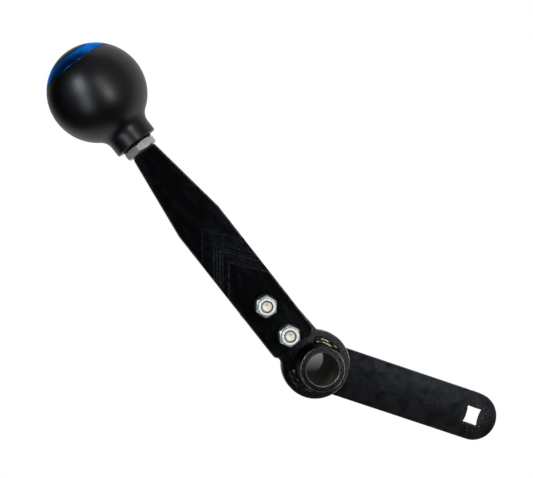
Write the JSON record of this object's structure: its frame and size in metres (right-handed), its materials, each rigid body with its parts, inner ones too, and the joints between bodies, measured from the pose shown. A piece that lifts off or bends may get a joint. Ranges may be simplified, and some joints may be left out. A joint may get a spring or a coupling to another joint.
{
  "type": "winch handle",
  "caption": "Crank handle with a ball knob on a tapered lever blade bolted to a welded hub with a bored pivot tube and a tail arm ending in a square drive hole.",
  "frame": {"origin": "on the pivot bore's axis, in the plane where the lever blade seats on the hub plate", "axes": "+Z along the pivot bore towards the nut side, +Y along the lever blade towards the ball knob, +X to the side the tail arm leans to"},
  "size_m": [0.0899, 0.2931, 0.0583],
  "materials": {
    "hub_paint": "satin black paint with rubbed edges",
    "arm_paint": "satin black paint, smudged",
    "weld": "heat-tinted weld metal",
    "black_anodised": "satin black anodised",
    "zinc_steel": "bright zinc plated",
    "black_washer": "black oxide",
    "zinc_nut": "bright zinc plated",
    "nylon": "natural nylon",
    "stainless": "satin stainless steel",
    "insert": "black oxide steel",
    "knob_black": "satin black",
    "blue_anodised": "brushed blue anodised",
    "cap_black": "satin black"
  },
  "bodies": {
    "lever": {"hub_tube": "hub_paint", "hub_plate": "hub_paint", "tail_arm": "arm_paint", "front_weld_upper": "weld", "front_weld_lower": "weld", "rear_weld_arm_side": "weld", "rear_weld_tab_side": "weld", "lever_blade": "black_anodised", "upper_bolt": "zinc_steel", "lower_bolt": "zinc_steel", "upper_head_washer": "zinc_steel", "lower_head_washer": "zinc_steel", "upper_nut_washer": "black_washer", "lower_nut_washer": "black_washer", "upper_lock_nut": "zinc_nut", "lower_lock_nut": "zinc_nut", "upper_nylon_ring": "nylon", "lower_nylon_ring": "nylon", "knob_stud": "stainless"},
    "jam_nut": {"jam_nut": "stainless"},
    "knob": {"knob_ball": "knob_black", "knob_insert": "insert", "knob_ring": "blue_anodised", "knob_cap": "cap_black"}
  },
  "joints": [
    {"name": "knob_turn", "type": "hinge", "parent": "lever", "child": "knob", "pos_m": [-0.0025, 0.1783, 0.00635], "axis": [0, 1, 0], "continuous": true},
    {"name": "jam_nut_turn", "type": "hinge", "parent": "lever", "child": "jam_nut", "pos_m": [-0.0025, 0.14365, 0.00635], "axis": [0, 1, 0], "continuous": true}
  ]
}
